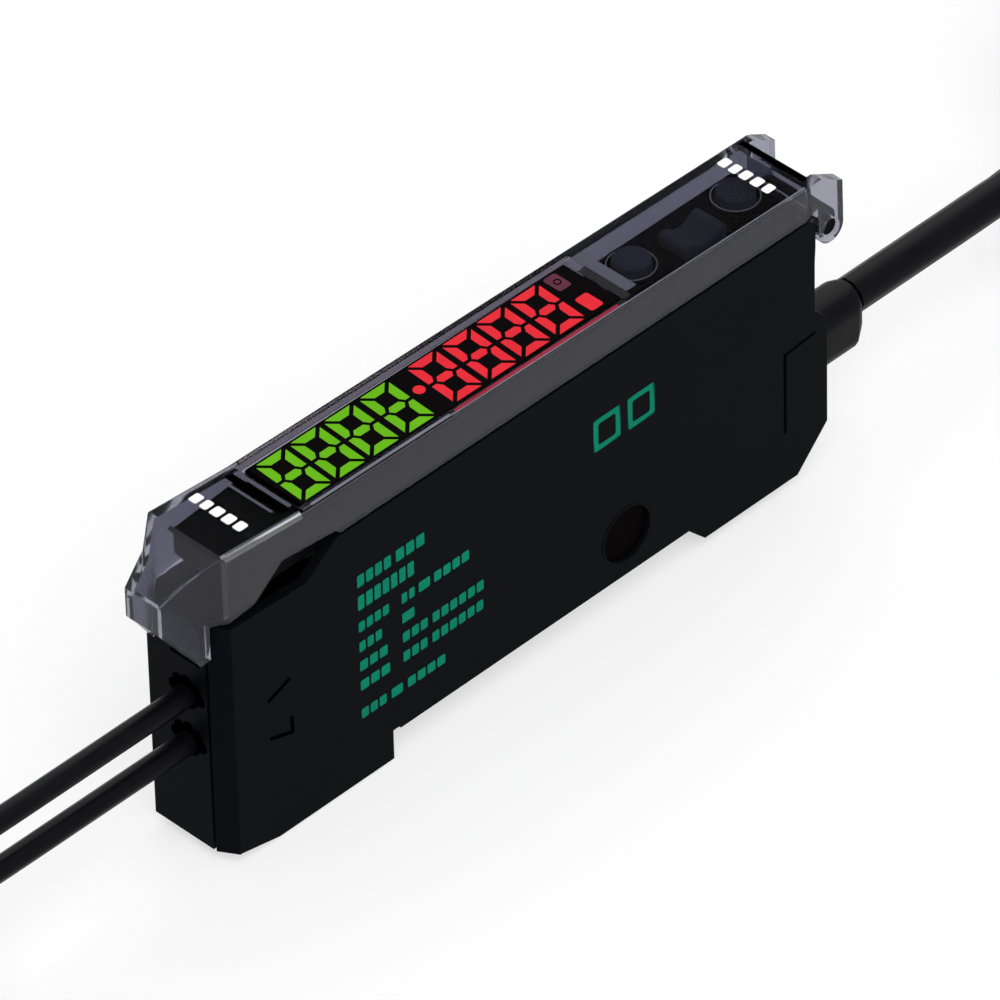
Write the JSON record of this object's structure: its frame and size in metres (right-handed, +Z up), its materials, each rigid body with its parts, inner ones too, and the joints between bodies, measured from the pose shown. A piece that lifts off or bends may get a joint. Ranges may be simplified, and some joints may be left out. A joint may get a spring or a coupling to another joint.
{
  "type": "fibre optic sensor amplifier",
  "caption": "Slim rail-mounted fibre optic sensor amplifier with a hinged clear smoke cover, figure displays, push keys, a fibre lock lever, coiled fibres and a coiled cable.",
  "frame": {"origin": "centre of the box around the housing, cover and cable outlet, at the height of the feet", "axes": "+X from the fibre end to the cable end, -Y the near printed side, +Z up to the display"},
  "size_m": [0.2796, 0.0324, 0.0335],
  "materials": {
    "housing_plastic": "moulded, fine sheen",
    "inner_plastic": "moulded",
    "smoke_cover": "clear smoke plastic, polished",
    "smoke_window": "polished",
    "green_light": "lit",
    "red_light": "lit",
    "dim_light": "unlit",
    "key_rubber": "soft sheen",
    "board": "solder mask",
    "steel": "brushed",
    "clear_lens": "polished",
    "dark_lens": "polished",
    "cable_jacket": "soft sheen",
    "core_brown": "soft sheen",
    "core_blue": "soft sheen",
    "core_black": "soft sheen",
    "core_white": "soft sheen"
  },
  "bodies": {
    "amplifier": {"base_housing": "housing_plastic", "side_cover": "housing_plastic", "top_bezel": "inner_plastic", "display_window": "smoke_window", "green_digits": "green_light", "red_digits": "red_light", "output_lamp": "red_light", "lock_lamp": "dim_light", "set_switch": "steel", "mode_switch": "steel", "down_switch": "steel", "up_switch": "steel", "key_board": "board", "main_board": "board", "fibre_guide": "inner_plastic", "optical_block": "inner_plastic", "light_emitter": "clear_lens", "light_receiver": "dark_lens", "lever_pin": "steel", "near_link_window": "smoke_window", "far_link_window": "smoke_window", "link_emitter": "clear_lens", "link_receiver": "dark_lens", "cable_gland": "cable_jacket", "cable_terminal": "core_white", "power_cable": "cable_jacket", "power_cable_coil": "cable_jacket", "core_brown": "core_brown", "core_blue": "core_blue", "core_black": "core_black", "core_white": "core_white", "emitter_fibre": "cable_jacket", "emitter_fibre_coil": "cable_jacket", "receiver_fibre": "cable_jacket", "receiver_fibre_coil": "cable_jacket", "emitter_head": "steel", "emitter_head_nut": "steel", "receiver_head": "steel", "receiver_head_nut": "steel", "cable_tie_near": "housing_plastic", "cable_tie_far": "housing_plastic", "fibre_tie_near": "housing_plastic", "fibre_tie_far": "housing_plastic"},
    "cover": {"hinged_cover": "smoke_cover"},
    "lever": {"lock_lever": "key_rubber"},
    "set_key": {"set_button": "key_rubber"},
    "mode_key": {"mode_button": "key_rubber"},
    "rocker": {"adjust_rocker": "key_rubber"}
  },
  "joints": [
    {"name": "cover_hinge", "type": "hinge", "parent": "amplifier", "child": "cover", "pos_m": [0.03495, 0, 0.0256], "axis": [0, 1, 0], "range_deg": [0, 110]},
    {"name": "lever_turn", "type": "hinge", "parent": "amplifier", "child": "lever", "pos_m": [-0.0362, 0, 0.0214], "axis": [0, -1, 0], "range_deg": [0, 80]},
    {"name": "set_press", "type": "slide", "parent": "amplifier", "child": "set_key", "axis": [0, 0, -1], "range_m": [0, 0.00025], "stiffness_N_per_m": 500},
    {"name": "mode_press", "type": "slide", "parent": "amplifier", "child": "mode_key", "axis": [0, 0, -1], "range_m": [0, 0.00025], "stiffness_N_per_m": 500},
    {"name": "rocker_tilt", "type": "hinge", "parent": "amplifier", "child": "rocker", "pos_m": [0.02275, 0, 0.0286], "axis": [0, 1, 0], "range_deg": [-5, 5], "stiffness_Nm_per_rad": 0.01}
  ]
}
